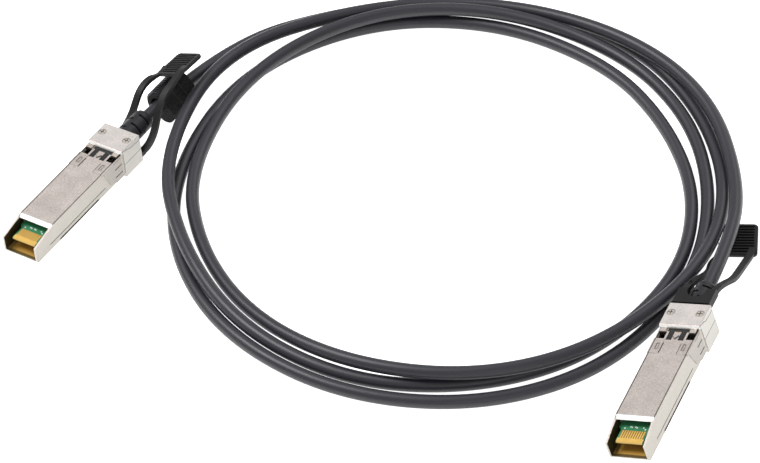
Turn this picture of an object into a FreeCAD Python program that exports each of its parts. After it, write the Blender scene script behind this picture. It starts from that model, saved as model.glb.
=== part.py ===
import FreeCAD, Part
import Sketcher
import math
import os
import re
from FreeCAD import Placement, Rotation, Vector

# Direct attach copper cable: two small form-factor plugs on one coiled twinax lead.
# Plug axes: X across, Y from the nose to the rear, Z up, with zero on the body's underside.
doc = FreeCAD.newDocument("dac_cable")
sheet = doc.addObject("Spreadsheet::Sheet", "sizes")

SIZES = {
    # shell
    "body_width": 13.55,
    "body_height": 8.5,
    "body_length": 49.9,
    "side_wall": 0.75,
    "lip_wall": 0.32,
    "floor_wall": 1.0,
    "cover_wall": 1.0,
    "seam_gap": 0.1,
    "nose_height": 6.15,
    "slope_end": 10.7,
    "band_start": 9.2,
    "band_end": 10.5,
    "band_drop": 0.9,
    "nose_chamfer": 0.45,
    "parting_height": 2.25,
    "parting_width": 0.2,
    "parting_depth": 0.3,
    "parting_start": 7.4,
    "parting_end": 38.6,
    "keyway_low": 0.2,
    "keyway_high": 0.75,
    "keyway_start": 12.6,
    "keyway_end": 34.5,
    "keyway_depth": 0.6,
    # rear hood
    "hood_length": 9.4,
    "hood_overhang": 0.225,
    "hood_top": 9.8,
    "hood_drop": 1.6,
    "hood_wall": 1.2,
    "hood_seam": 3.8,
    "hood_roof": 1.0,
    "hood_round": 0.18,
    "lip_round": 0.85,
    "lip_overhang": 0.9,
    "side_seam_width": 0.2,
    "side_seam_depth": 0.3,
    "foot_inner": 4.1,
    "foot_length": 2.2,
    "foot_rise": 0.6,
    # screws
    "screw_inset": 2.0,
    "screw_behind": 5.1,
    "screw_head_radius": 1.35,
    "screw_head_height": 0.9,
    "screw_head_sink": 0.85,
    "screw_shank_radius": 0.6,
    "screw_boss_radius": 1.1,
    "screw_clearance": 0.1,
    "cross_length": 1.9,
    "cross_width": 0.42,
    "cross_depth": 0.5,
    # ground collar
    "collar_sheet": 0.15,
    "collar_length": 10.8,
    "collar_setback": 1.4,
    "collar_tab_end": 44.3,
    "collar_tab_inner": 3.15,
    "collar_slit": 0.24,
    "collar_slit_length": 3.8,
    "collar_slit_low": 2.2,
    "collar_slit_high": 5.3,
    "tab_slit_start": 38.0,
    "tab_slit_end": 42.6,
    "tab_slit_width": 0.22,
    "slit_depth": 0.35,
    "emboss_across": 4.55,
    "emboss_at": 40.8,
    "emboss_length": 3.2,
    "emboss_width": 1.4,
    "emboss_line": 0.3,
    "emboss_rise": 0.1,
    # card
    "card_thick": 1.0,
    "card_bottom": 4.0,
    "card_start": 2.4,
    "card_end": 30.0,
    "finger_width": 9.2,
    "card_clearance": 0.325,
    "card_step": 7.6,
    "card_bevel": 0.3,
    "card_ledge": 1.0,
    "ledge_start": 12.0,
    "ledge_end": 28.0,
    "pad_pitch": 0.8,
    "pad_width": 0.62,
    "pad_length": 4.6,
    "pad_setback": 0.32,
    "pad_thick": 0.05,
    "pad_count": 10,
    "chip_length": 3.0,
    "chip_width": 2.4,
    "chip_height": 0.9,
    "chip_at": 20.0,
    "capacitor_length": 1.0,
    "capacitor_width": 0.5,
    "capacitor_height": 0.5,
    "capacitor_at": 14.0,
    "capacitor_pitch": 2.2,
    "solder_length": 1.5,
    # cable end
    "cable_radius": 2.25,
    "cable_height": 5.0,
    "cable_inside": 2.3,
    "wire_radius": 0.5,
    "wire_spread": 2.2,
    "wire_bundle": 0.62,
    "wire_straight": 6.0,
    "wire_gather": 8.0,
    "ferrule_length": 3.8,
    "ferrule_radius": 2.9,
    "ferrule_gap": 0.5,
    "ferrule_wall": 0.6,
    "cradle_setback": 1.2,
    "cradle_length": 1.6,
    "seat_clearance": 0.02,
    "boot_bore": 2.6,
    "boot_start_radius": 4.0,
    "boot_end_radius": 3.75,
    "boot_length": 12.6,
    "boot_round": 1.3,
    "boot_neck_radius": 2.95,
    "neck_clearance": 0.05,
    "flange_width": 8.4,
    "flange_length": 1.2,
    "slot_first": 1.9,
    "slot_pitch": 2.4,
    "slot_width": 0.75,
    "slot_wall": 0.45,
    "slot_web": 0.5,
    # latch
    "boss_tip": 44.35,
    "boss_shoulder": 45.85,
    "boss_rise": 0.45,
    "boss_width": 2.2,
    "window_inner": 3.75,
    "window_start": 44.35,
    "window_end": 46.9,
    "prong_inner": 1.2,
    "prong_outer": 2.95,
    "prong_tip": 44.05,
    "prong_round": 0.35,
    "bar_setback": 2.1,
    "bar_half": 3.6,
    "bar_length": 1.5,
    "wing_clearance": 0.5,
    "slider_thick": 0.5,
    "slider_gap": 0.08,
    "arm_inner": 2.98,
    "arm_low": 0.25,
    "arm_leg": 0.8,
    "arm_engage": 0.9,
    "travel": 2.0,
    "spring_wire": 0.12,
    "spring_radius": 0.42,
    "spring_turns": 5,
    # pull tab
    "strap_width": 2.3,
    "strap_thick": 1.3,
    "tab_gap": 0.4,
    "tab_inset": 0.6,
    "boot_clearance": 0.35,
    "scoop_radius": 3.2,
    "paddle_thick": 1.4,
    "paddle_corner": 1.6,
    "paddle_border": 1.2,
    "paddle_bevel": 0.3,
    "rib_count": 9,
    "rib_share": 0.42,
    "rib_depth": 0.5,
    # lead and tie
    "tie_bore": 2.7,
    "tie_sleeve": 1.45,
    "tie_roll_radius": 3.5,
    "tie_roll_across": 3.0,
    "tie_front": 5.6,
    "tie_rear": 9.6,
    "tie_step": 0.22,
}

# Sizes that follow from others.
FOLLOWING = {
    "card_width": "body_width - 2 * side_wall - 2 * card_clearance",
    "collar_start": "body_length - collar_setback - collar_length",
}

HALF = "(body_width / 2)"
INNER = "(body_width / 2 - side_wall)"
PLATE = "(body_width / 2 - lip_wall - seam_gap)"
HOOD = "(body_width / 2 + hood_overhang)"
REAR = "(body_length + hood_length)"
SCREW = f"({HOOD} - screw_inset)"
SCREW_AT = "(body_length + screw_behind)"
BAR = "(body_length - bar_setback)"
BAR_END = f"({BAR} + bar_length)"
WING = f"({INNER} - wing_clearance)"
LEG_END = "(body_length + arm_leg + slider_thick)"
ARM_END = f"({REAR} + tab_gap + arm_engage)"
COLLAR_END = "(body_length - collar_setback)"
FERRULE = f"({REAR} - hood_wall - flange_length - ferrule_gap - ferrule_length)"

for row, (alias, number) in enumerate(SIZES.items(), start=1):
    sheet.set(f"A{row}", alias)
    sheet.set(f"B{row}", str(number))
    sheet.setAlias(f"B{row}", alias)
for row, (alias, formula) in enumerate(FOLLOWING.items(), start=len(SIZES) + 1):
    sheet.set(f"A{row}", alias)
    sheet.set(f"B{row}", f"={formula}")
    sheet.setAlias(f"B{row}", alias)
doc.recompute()


def bound(text):
    """Turns size names into references to the spreadsheet."""
    return re.sub(r"[a-z][a-z_]+", lambda word: "sizes." + word.group(0), str(text))


def val(text):
    """Gives the number that an expression in size names comes to."""
    return float(sheet.evalExpression(bound(text)))


# Role of the origin plane, sign of its normal along the axis that a feature grows on.
PLANES = {"across": ("YZ_Plane", 1), "along": ("XZ_Plane", -1), "up": ("XY_Plane", 1)}


def new_body(label, placement):
    body = doc.addObject("PartDesign::Body", label)
    body.Label = label
    body.Placement = placement
    return body


def new_sketch(body, way, start):
    """Sketch on one of the body's own origin planes, moved along its normal to start."""
    role, sign = PLANES[way]
    plane = next(item for item in body.Origin.OriginFeatures if item.Role == role)
    sketch = body.newObject("Sketcher::SketchObject", "Sketch")
    sketch.AttachmentSupport = (plane, "")
    sketch.MapMode = "FlatFace"
    sketch.setExpression("AttachmentOffset.Base.z", bound(f"{sign} * ({start})"))
    return sketch


def draw_polygon(sketch, points):
    """Closed outline whose corners are held by expressions."""
    spots = [Vector(val(x), val(y), 0) for x, y in points]
    first = sketch.GeometryCount
    count = len(spots)
    for index in range(count):
        end = spots[(index + 1) % count]
        sketch.addGeometry(Part.LineSegment(spots[index], end), False)
    for index in range(count):
        line = first + index
        following = first + (index + 1) % count
        sketch.addConstraint(Sketcher.Constraint("Coincident", line, 2, following, 1))
    for index, (x, y) in enumerate(points):
        line = first + index
        for kind, text, number in (("DistanceX", x, spots[index].x), ("DistanceY", y, spots[index].y)):
            held = sketch.addConstraint(Sketcher.Constraint(kind, -1, 1, line, 1, number))
            sketch.setExpression(f"Constraints[{held}]", bound(text))


def draw_circle(sketch, x, y, radius):
    """Circle whose centre and radius are held by expressions."""
    centre = Vector(val(x), val(y), 0)
    ring = sketch.addGeometry(Part.Circle(centre, Vector(0, 0, 1), val(radius)), False)
    for kind, text, number in (("DistanceX", x, centre.x), ("DistanceY", y, centre.y)):
        held = sketch.addConstraint(Sketcher.Constraint(kind, -1, 1, ring, 3, number))
        sketch.setExpression(f"Constraints[{held}]", bound(text))
    held = sketch.addConstraint(Sketcher.Constraint("Radius", ring, val(radius)))
    sketch.setExpression(f"Constraints[{held}]", bound(radius))


def box_outline(x0, x1, y0, y1):
    return [(x0, y0), (x1, y0), (x1, y1), (x0, y1)]


def grow(body, kind, way, start, length, outlines=(), circles=()):
    """Pad or pocket that runs from start, in the positive direction of its axis."""
    sketch = new_sketch(body, way, start)
    for outline in outlines:
        draw_polygon(sketch, outline)
    for circle in circles:
        draw_circle(sketch, *circle)
    feature = body.newObject("PartDesign::" + kind, kind)
    feature.Profile = sketch
    feature.setExpression("Length", bound(length))
    along_normal = PLANES[way][1] > 0
    feature.Reversed = along_normal == (kind == "Pocket")
    sketch.Visibility = False
    return feature


def pad(body, way, start, length, outlines=(), circles=()):
    return grow(body, "Pad", way, start, length, outlines, circles)


def pocket(body, way, start, length, outlines=(), circles=()):
    return grow(body, "Pocket", way, start, length, outlines, circles)


def mirrored(inner, outer, low, high):
    """The same rectangle on both sides of the plug's middle."""
    return [box_outline(inner, outer, low, high),
            box_outline(f"-({outer})", f"-({inner})", low, high)]


def both_sides(across, along, radius):
    """The same circle on both sides of the plug's middle."""
    return [(f"{side} * {across}", along, radius) for side in (-1, 1)]


def dress_edges(body, kind, size, chosen):
    """Fillet or chamfer on the body's edges that the test picks."""
    doc.recompute()
    tip = body.Tip
    names = [f"Edge{number}" for number, edge in enumerate(tip.Shape.Edges, start=1) if chosen(edge)]
    dressed = body.newObject("PartDesign::" + kind, kind)
    dressed.Base = (tip, names)
    dressed.setExpression("Radius" if kind == "Fillet" else "Size", bound(size))
    return dressed


def is_level_at(edge, height):
    box = edge.BoundBox
    return abs(box.ZMin - height) < 0.01 and abs(box.ZMax - height) < 0.01


def feature(label, shape, placement):
    """Plain solid for what neither a body nor a primitive can hold."""
    item = doc.addObject("Part::Feature", label)
    item.Label = label
    item.Shape = shape
    item.Placement = placement
    return item


def tube_path(points, ease=0.45):
    """Wire of straight runs joined by tangent arcs."""
    spots = [Vector(*point) for point in points]
    edges = []
    radii = []
    start = spots[0]
    for before, corner, after in zip(spots, spots[1:], spots[2:]):
        back = before - corner
        ahead = after - corner
        reach = ease * min(back.Length, ahead.Length)
        half_turn = (math.pi - back.getAngle(ahead)) / 2
        radius = reach / math.tan(half_turn)
        back.normalize()
        ahead.normalize()
        arc_start = corner + back * reach
        arc_end = corner + ahead * reach
        middle = (back + ahead).normalize()
        bend = corner + middle * (radius / math.cos(half_turn) - radius)
        edges.append(Part.LineSegment(start, arc_start).toShape())
        edges.append(Part.Arc(arc_start, bend, arc_end).toShape())
        radii.append(radius)
        start = arc_end
    edges.append(Part.LineSegment(start, spots[-1]).toShape())
    return Part.Wire(edges), radii


def tube(points, radius):
    """Round solid swept along a rounded route."""
    path, radii = tube_path(points)
    heading = Vector(*points[1]) - Vector(*points[0])
    ring = Part.Wire([Part.makeCircle(radius, Vector(*points[0]), heading)])
    return path.makePipeShell([ring], True, False), path.Length, radii


def base_housing(label, placement):
    body = new_body(label, placement)
    channel = [(f"-{HALF}", "0"), (HALF, "0"), (HALF, "body_height"), (INNER, "body_height"),
               (INNER, "floor_wall"), (f"-{INNER}", "floor_wall"), (f"-{INNER}", "body_height"),
               (f"-{HALF}", "body_height")]
    pad(body, "along", "0", "body_length", [channel])
    # ledges that carry the card
    pad(body, "up", "floor_wall", "card_bottom - floor_wall",
        mirrored(f"{INNER} - card_ledge", INNER, "ledge_start", "ledge_end"))
    # lower half of the hood, with its cavity
    pad(body, "along", "body_length", "hood_length",
        [box_outline(f"-{HOOD}", HOOD, "-hood_drop", "hood_seam - seam_gap")])
    pocket(body, "along", "body_length", "hood_length - hood_wall",
           [box_outline(f"-{HOOD} + hood_wall", f"{HOOD} - hood_wall", "floor_wall / 2", "hood_seam + 1")])
    # screw posts and the cradle under the ferrule
    pad(body, "up", "0", "hood_seam", circles=both_sides(SCREW, SCREW_AT, "screw_boss_radius"))
    pad(body, "along", f"{FERRULE} + cradle_setback", "cradle_length",
        [box_outline("-ferrule_radius - ferrule_wall", "ferrule_radius + ferrule_wall", "0", "hood_seam")])
    # rebate that the cover plate drops into
    pocket(body, "up", "body_height - cover_wall", "cover_wall + 1",
           mirrored(f"{INNER} - 0.1", f"{HALF} - lip_wall", "band_start - seam_gap", "body_length + 1"))
    # sloped nose walls and relieved nose edge
    pocket(body, "across", "-body_width", "2 * body_width",
           [[("0", "nose_height"), ("slope_end", "body_height"), ("slope_end", "body_height + 1"),
             ("-1", "body_height + 1"), ("-1", "nose_height")],
            [("-1", "-1"), ("nose_chamfer + 1", "-1"), ("0", "nose_chamfer"), ("-1", "nose_chamfer")]])
    # seats for the ferrule and the boot's neck, ways out for low latch arms
    pocket(body, "along", f"{FERRULE} - 1", "ferrule_length + 1 + ferrule_gap",
           circles=[("0", "cable_height", "ferrule_radius + seat_clearance")])
    pocket(body, "along", f"{REAR} - hood_wall - 0.5", "hood_wall + 1",
           circles=[("0", "cable_height", "boot_neck_radius + neck_clearance")])
    pocket(body, "along", "body_length - 1", "hood_length + 2",
           mirrored("arm_inner - slider_gap", "bar_half + slider_gap", "arm_low - slider_gap",
                    "arm_low + slider_thick + slider_gap"))
    # parting groove and keyway along each side, and relief behind the collar's slits
    for low, high, first, last, depth in (
            ("parting_height - parting_width / 2", "parting_height + parting_width / 2",
             "parting_start", "parting_end", "parting_depth"),
            ("keyway_low", "keyway_high", "keyway_start", "keyway_end", "keyway_depth"),
            ("collar_slit_low - collar_slit / 2", "collar_slit_low + collar_slit / 2",
             f"{COLLAR_END} - collar_slit_length", COLLAR_END, "slit_depth"),
            ("collar_slit_high - collar_slit / 2", "collar_slit_high + collar_slit / 2",
             f"{COLLAR_END} - collar_slit_length", COLLAR_END, "slit_depth")):
        pocket(body, "up", low, f"({high}) - ({low})",
               mirrored(f"{HALF} - {depth}", f"{HALF} + 1", first, last))
    return body


def top_cover(label, placement):
    under = "body_height - cover_wall"
    body = new_body(label, placement)
    # plate with the sloped band at its front
    pad(body, "across", f"-{PLATE}", f"2 * {PLATE}",
        [[("band_start", under), ("body_length", under), ("body_length", "body_height"),
          ("band_end", "body_height"), ("band_start", "body_height - band_drop")]])
    # ribs that hold the card down
    pad(body, "up", "card_bottom + card_thick", f"{under} - card_bottom - card_thick",
        mirrored(f"{INNER} - seam_gap - card_ledge", f"{INNER} - seam_gap", "ledge_start", "ledge_end"))
    # upper half of the hood and its overhanging lip
    pad(body, "along", "body_length", "hood_length",
        [box_outline(f"-{HOOD}", HOOD, "hood_seam", "hood_top")])
    pad(body, "along", "body_length - lip_overhang", "lip_overhang",
        [box_outline(f"-{HOOD}", HOOD, "body_height + slider_gap", "hood_top")])
    front = val("body_length - lip_overhang")
    top = val("hood_top")
    dress_edges(body, "Fillet", "lip_round",
                lambda edge: is_level_at(edge, top) and edge.BoundBox.YMax < front + 0.01)
    dress_edges(body, "Chamfer", "hood_round",
                lambda edge: is_level_at(edge, top) and edge.BoundBox.YMax > front + 1.5)
    # small feet that show under the lip
    pad(body, "up", under, "cover_wall + foot_rise",
        mirrored("foot_inner", PLATE, f"{BAR_END} - foot_length", f"{BAR_END} + 0.5"))
    pocket(body, "along", "body_length", "hood_length - hood_wall",
           [box_outline(f"-{HOOD} + hood_wall", f"{HOOD} - hood_wall", "hood_seam - 1",
                        "hood_top - hood_roof")])
    pad(body, "up", "hood_seam", "hood_top - hood_roof - hood_seam",
        circles=both_sides(SCREW, SCREW_AT, "screw_boss_radius"))
    pocket(body, "along", f"{REAR} - hood_wall - 0.5", "hood_wall + 1",
           circles=[("0", "cable_height", "boot_neck_radius + neck_clearance")])
    # triangular latch boss
    pad(body, "up", "body_height", "boss_rise",
        [[("0", "boss_tip"), ("boss_width / 2", "boss_shoulder"), ("-boss_width / 2", "boss_shoulder")]])
    # open windows, then slots for the slider's prongs, bar, wings and arms
    pocket(body, "up", f"{under} - 1", "cover_wall + 2",
           mirrored("window_inner", f"{PLATE} + 1", "window_start", "window_end"))
    floor = "body_height - slider_thick - slider_gap"
    depth = "slider_thick + 2 * slider_gap"
    pocket(body, "up", floor, depth,
           mirrored("prong_inner - slider_gap", "prong_outer + slider_gap", "prong_tip - slider_gap", BAR))
    pocket(body, "up", floor, depth,
           [box_outline("-bar_half - slider_gap", "bar_half + slider_gap", f"{BAR} - slider_gap",
                        "body_length + 1")])
    pocket(body, "up", floor, depth,
           [box_outline(f"-{WING} - slider_gap", f"{WING} + slider_gap", f"{BAR_END} - slider_gap",
                        "body_length + 1")])
    pocket(body, "along", "body_length - 1", "hood_length + 2",
           mirrored("arm_inner - slider_gap", "bar_half + slider_gap", floor, "body_height + slider_gap"))
    # slits beside the collar's top tabs
    pocket(body, "up", "body_height - slit_depth", "slit_depth + 1",
           mirrored("collar_tab_inner - tab_slit_width", "collar_tab_inner", "tab_slit_start",
                    "tab_slit_end"))
    # screw seats
    for radius, low in (("screw_shank_radius + screw_clearance", "hood_seam - 1"),
                        ("screw_head_radius + screw_clearance", "hood_top - screw_head_sink")):
        pocket(body, "up", low, f"hood_top + 1 - ({low})", circles=both_sides(SCREW, SCREW_AT, radius))
    # stepped seam down each side of the hood
    line = [("body_length - 0.4", "hood_top - 0.15"), ("body_length + 2.4", "hood_top - 0.8"),
            ("body_length + 3.8", "hood_top - 1.55"), (f"{REAR} - 1.8", "hood_top - 1.85"),
            (f"{REAR} + 1", "hood_top - 1.85")]
    band = line + [(x, y + " - side_seam_width") for x, y in reversed(line)]
    for first in (f"-{HOOD} - 1", f"{HOOD} - side_seam_depth"):
        pocket(body, "across", first, "side_seam_depth + 1", [band])
    return body


def emi_collar(label, placement):
    body = new_body(label, placement)
    pad(body, "along", "collar_start", "collar_length",
        [box_outline(f"-{HALF} - collar_sheet", f"{HALF} + collar_sheet", "-collar_sheet",
                     "body_height + collar_sheet")])
    pocket(body, "along", "collar_start - 1", "collar_length + 2",
           [box_outline(f"-{HALF}", HALF, "0", "body_height")])
    # open middle, and the top tabs that stop short of the latch windows
    pocket(body, "up", "body_height - 0.5", "2",
           [box_outline("-collar_tab_inner", "collar_tab_inner", "collar_start - 1", "body_length")])
    pocket(body, "up", "body_height - 0.5", "2",
           [box_outline("-body_width", "body_width", "collar_tab_end", "body_length")])
    # slanted front of the sides
    pocket(body, "across", "-body_width", "2 * body_width",
           [[("collar_start - 1", "body_height - 0.4"), ("collar_start + 1", "body_height - 0.4"),
             ("collar_start + 3.6", "1.4"), ("collar_start + 7", "0.25"), ("collar_start + 7", "-1"),
             ("collar_start - 1", "-1")]])
    # slits that free the side fingers
    slits = [box_outline(f"{COLLAR_END} - collar_slit_length", "body_length", f"{level} - collar_slit / 2",
                         f"{level} + collar_slit / 2") for level in ("collar_slit_low", "collar_slit_high")]
    pocket(body, "across", "-body_width", "2 * body_width", slits)
    # embossed long rings on the top tabs
    for inset, kind in (("0", pad), ("emboss_line", pocket)):
        wide = f"(emboss_width / 2 - {inset})"
        long = f"(emboss_length / 2 - {inset})"
        corner = f"(0.3 * emboss_width - 0.6 * {inset})"
        front = f"emboss_at - {long}"
        rear = f"emboss_at + {long}"
        rings = []
        for side in (-1, 1):
            low = f"{side} * emboss_across - {wide}"
            high = f"{side} * emboss_across + {wide}"
            rings.append([
                (f"{low} + {corner}", front), (f"{high} - {corner}", front),
                (high, f"{front} + {corner}"), (high, f"{rear} - {corner}"),
                (f"{high} - {corner}", rear), (f"{low} + {corner}", rear),
                (low, f"{rear} - {corner}"), (low, f"{front} + {corner}")])
        kind(body, "up", "body_height + collar_sheet", "emboss_rise", rings)
    return body


def paddle_card(label, placement):
    body = new_body(label, placement)
    finger = "finger_width / 2"
    wide = "card_width / 2"
    pad(body, "up", "card_bottom", "card_thick",
        [[(f"-{finger}", "card_start"), (finger, "card_start"), (finger, "card_step"),
          (wide, "card_step + 1"), (wide, "card_end"), (f"-{wide}", "card_end"),
          (f"-{wide}", "card_step + 1"), (f"-{finger}", "card_step")]])
    front = val("card_start")
    dress_edges(body, "Chamfer", "card_bevel",
                lambda edge: edge.BoundBox.YMax < front + 0.01 and edge.BoundBox.ZLength < 0.01)
    return body


def contact_pads(label, placement):
    body = new_body(label, placement)
    first = "-pad_pitch * (pad_count - 1) / 2"
    start = "card_start + pad_setback"
    fingers = [box_outline(f"{first} + pad_pitch * {number} - pad_width / 2",
                           f"{first} + pad_pitch * {number} + pad_width / 2",
                           start, f"{start} + pad_length") for number in range(int(val("pad_count")))]
    pad(body, "up", "card_bottom + card_thick", "pad_thick", fingers)
    pad(body, "up", "card_bottom - pad_thick", "pad_thick", fingers)
    return body


def card_parts(label, placement):
    body = new_body(label, placement)
    top = "card_bottom + card_thick"
    pad(body, "up", top, "chip_height",
        [box_outline("-chip_width / 2", "chip_width / 2", "chip_at", "chip_at + chip_length")])
    pad(body, "up", top, "capacitor_height",
        [box_outline(f"{side} * capacitor_pitch - capacitor_width / 2",
                     f"{side} * capacitor_pitch + capacitor_width / 2",
                     "capacitor_at", "capacitor_at + capacitor_length") for side in (-1.5, -0.5, 0.5, 1.5)])
    return body


def wire_pairs(label, placement):
    """Four twinax pairs, soldered above the card and gathered into the ferrule."""
    radius = val("wire_radius")
    top = val("card_bottom + card_thick + wire_radius")
    middle = val("cable_height")
    solder = val("card_end - solder_length")
    gather = val("wire_bundle")
    solids = []
    for column, (side, level) in zip((-1.5, -0.5, 0.5, 1.5), ((-1, 0), (0, -1), (0, 1), (1, 0))):
        across = column * val("wire_spread")
        inside = Vector(side * gather * 1.4, 0, middle + level * gather)
        route = [Vector(across, solder, top), Vector(across, solder + val("wire_straight"), top),
                 inside + Vector(0, val(f"{FERRULE} - wire_gather"), 0),
                 inside + Vector(0, val(f"{REAR} - cable_inside"), 0)]
        corners = [route[0] + Vector(radius * math.cos(turn), 0, radius * math.sin(turn))
                   for turn in (math.pi * step / 4 for step in range(8))]
        path = Part.makePolygon(route)
        solids.append(path.makePipeShell([Part.makePolygon(corners + corners[:1])], True, False, 1))
    return feature(label, Part.Compound(solids), placement)


def crimp_ferrule(label, placement):
    body = new_body(label, placement)
    pad(body, "along", FERRULE, "ferrule_length", circles=[("0", "cable_height", "ferrule_radius")])
    pocket(body, "along", f"{FERRULE} - 1", "ferrule_length + 2",
           circles=[("0", "cable_height", "boot_bore - 0.3")])
    return body


def strain_relief(label, placement):
    body = new_body(label, placement)
    middle = "cable_height"
    end = f"{REAR} + boot_length"
    pad(body, "along", f"{REAR} - hood_wall - flange_length", "flange_length",
        [box_outline("-flange_width / 2", "flange_width / 2", f"{middle} - boot_neck_radius",
                     f"{middle} + boot_neck_radius")])
    pad(body, "along", f"{REAR} - hood_wall", "hood_wall", circles=[("0", middle, "boot_neck_radius")])
    # tapered boot with a rounded mouth, turned about the lead
    sketch = new_sketch(body, "across", "0")
    draw_polygon(sketch, [(REAR, middle), (REAR, f"{middle} + boot_start_radius"),
                          (f"{end} - boot_round", f"{middle} + boot_end_radius"),
                          (f"{end} - 0.3 * boot_round", f"{middle} + boot_end_radius - 0.3 * boot_round"),
                          (end, f"{middle} + boot_end_radius - boot_round"), (end, middle)])
    turned = body.newObject("PartDesign::Revolution", "Revolution")
    turned.Profile = sketch
    level = val(middle)
    axis_line = sketch.addGeometry(Part.LineSegment(Vector(0, level, 0), Vector(1, level, 0)), True)
    sketch.addConstraint(Sketcher.Constraint("Horizontal", axis_line))
    for point in (1, 2):
        held = sketch.addConstraint(Sketcher.Constraint("DistanceX", -1, 1, axis_line, point, point - 1.0))
    held = sketch.addConstraint(Sketcher.Constraint("DistanceY", -1, 1, axis_line, 1, level))
    sketch.setExpression(f"Constraints[{held}]", bound(middle))
    turned.ReferenceAxis = (sketch, ["Axis0"])
    turned.Angle = 360
    # crescent slots in opposite quarters, which change over from ring to ring
    reach = "(boot_start_radius + 1)"
    near = "slot_web / 2"
    for number in range(4):
        lean = 1 if number % 2 else -1
        quarters = []
        for side in (-1, 1):
            across = sorted([f"{side} * {near}", f"{side} * {reach}"], key=val)
            upright = sorted([f"{side * lean} * {near}", f"{side * lean} * {reach}"], key=val)
            quarters.append(box_outline(across[0], across[1], f"{middle} + {upright[0]}",
                                        f"{middle} + {upright[1]}"))
        pocket(body, "along", f"{REAR} + slot_first + {number} * slot_pitch", "slot_width", quarters)
    pad(body, "along", f"{REAR} + slot_first - 0.4", "4 * slot_pitch",
        circles=[("0", middle, "boot_bore + slot_wall")])
    pocket(body, "along", f"{REAR} - 4", "boot_length + 5", circles=[("0", middle, "boot_bore")])
    return body


def latch_slider(label, placement, low_arms):
    """Two prongs and a cross bar, with arms that leave the hood above or below the boot."""
    body = new_body(label, placement)
    level = "body_height - slider_thick"
    prongs = []
    for side in (-1, 1):
        inner = f"{side} * prong_inner"
        outer = f"{side} * prong_outer"
        prongs.append([(inner, BAR_END), (inner, "prong_tip + prong_round"),
                       (f"{inner} + {side} * prong_round", "prong_tip"),
                       (f"{outer} - {side} * prong_round", "prong_tip"),
                       (outer, "prong_tip + prong_round"), (outer, BAR_END)])
    pad(body, "up", level, "slider_thick", prongs)
    pad(body, "up", level, "slider_thick", [box_outline("-bar_half", "bar_half", BAR, BAR_END)])
    pad(body, "up", level, "slider_thick", [box_outline(f"-{WING}", WING, BAR_END, "body_length")])
    if low_arms:
        side_view = [("body_length", level), (f"{LEG_END} - slider_thick", level),
                     (f"{LEG_END} - slider_thick", "arm_low"), (ARM_END, "arm_low"),
                     (ARM_END, "arm_low + slider_thick"), (LEG_END, "arm_low + slider_thick"),
                     (LEG_END, "body_height"), ("body_length", "body_height")]
    else:
        side_view = box_outline("body_length", ARM_END, level, "body_height")
    for first in ("-bar_half", "arm_inner"):
        pad(body, "across", first, "bar_half - arm_inner", [side_view])
    return body


def latch_springs(label, placement):
    """Two square-wire compression coils between the slider's wings and the screw posts."""
    front = val("body_length")
    wire = val("spring_wire")
    length = val("screw_behind - screw_boss_radius") - 2 * wire
    radius = val("spring_radius")
    steps = 8 * int(val("spring_turns"))
    across = val(WING) - radius - wire
    height = val("body_height - slider_thick / 2")
    coils = []
    for side in (-1, 1):
        sections = []
        for step in range(steps + 1):
            turn = Rotation(Vector(0, 1, 0), 45 * step)
            centre = Vector(side * across, front + wire + length * step / steps, height)
            corners = [centre + turn.multVec(Vector(radius + x * wire, y * wire, 0))
                       for x, y in ((-1, -1), (1, -1), (1, 1), (-1, 1))]
            sections.append(Part.makePolygon(corners + corners[:1]))
        coils.append(Part.makeLoft(sections, True, True))
    return feature(label, Part.Compound(coils), placement)


def hood_screws(label, placement):
    """Two bevelled-head screws with cross recesses."""
    solids = []
    seat = val("hood_top - screw_head_sink")
    top = seat + val("screw_head_height")
    for side in (-1, 1):
        spot = Vector(side * val(SCREW), val(SCREW_AT), 0)
        head = Part.makeCylinder(val("screw_head_radius"), top - seat, spot + Vector(0, 0, seat))
        rim = [edge for edge in head.Edges if is_level_at(edge, top)]
        head = head.makeChamfer(0.3, rim)
        shank = Part.makeCylinder(val("screw_shank_radius"), seat - val("hood_seam"),
                                  spot + Vector(0, 0, val("hood_seam")))
        screw = head.fuse(shank).removeSplitter()
        length = val("cross_length")
        width = val("cross_width")
        for size in ((length, width), (width, length)):
            corner = spot + Vector(-size[0] / 2, -size[1] / 2, top - val("cross_depth"))
            screw = screw.cut(Part.makeBox(size[0], size[1], 1, corner))
        solids.append(screw)
    return feature(label, Part.Compound(solids), placement)


def ribbon(stations, width, thick):
    """Flat strap lofted through stations of (centre, lean in degrees), facing rearward and up."""
    sections = []
    for index, (spot, lean) in enumerate(stations):
        here = Vector(*spot)
        before = Vector(*stations[max(index - 1, 0)][0])
        after = Vector(*stations[min(index + 1, len(stations) - 1)][0])
        heading = (after - before).normalize()
        side = Rotation(heading, lean).multVec(Vector(1, 0, 0))
        side = (side - heading * side.dot(heading)).normalize()
        rise = side.cross(heading).normalize()
        corners = [here + side * (x * width / 2) + rise * (y * thick / 2)
                   for x, y in ((-1, -1), (1, -1), (1, 1), (-1, 1))]
        sections.append(Part.makePolygon(corners + corners[:1]))
    return Part.makeLoft(sections, True, False)


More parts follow.
